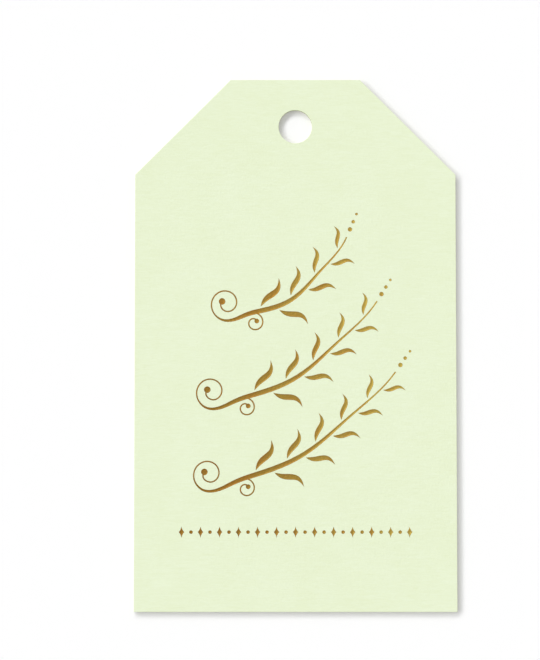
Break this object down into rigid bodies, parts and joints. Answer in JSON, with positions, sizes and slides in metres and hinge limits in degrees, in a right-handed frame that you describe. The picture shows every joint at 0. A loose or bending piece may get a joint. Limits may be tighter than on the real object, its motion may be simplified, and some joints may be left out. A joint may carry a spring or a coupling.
{
  "type": "gift tag",
  "caption": "Flat card gift tag with slanted top corners, a round tie hole, and a leafy gold foil ornament pressed into its pale green face.",
  "frame": {"origin": "middle of the tag's outline, on the back face that it lies on", "axes": "+Z out of the foiled face, +Y along the tag towards the tie hole, +X to the right as the face is seen upright"},
  "size_m": [0.0538, 0.0888, 0.0008],
  "materials": {
    "face_paper": "matte uncoated card dyed pale green through its thickness",
    "back_paper": "matte uncoated soft white card",
    "glue": "dried clear-to-cream laminating glue, seen only as a line in the cut edge",
    "gold_foil": "hot-stamped metallised film, gold lacquer, satin"
  },
  "bodies": {
    "root": {"face_sheet": "face_paper", "glue_film": "glue", "back_sheet": "back_paper", "foil_upper_vine": "gold_foil", "foil_upper_leaves": "gold_foil", "foil_upper_dots": "gold_foil", "foil_middle_vine": "gold_foil", "foil_middle_leaves": "gold_foil", "foil_middle_dots": "gold_foil", "foil_lower_vine": "gold_foil", "foil_lower_leaves": "gold_foil", "foil_lower_dots": "gold_foil", "foil_border_lozenges": "gold_foil", "foil_border_beads": "gold_foil"}
  },
  "joints": []
}
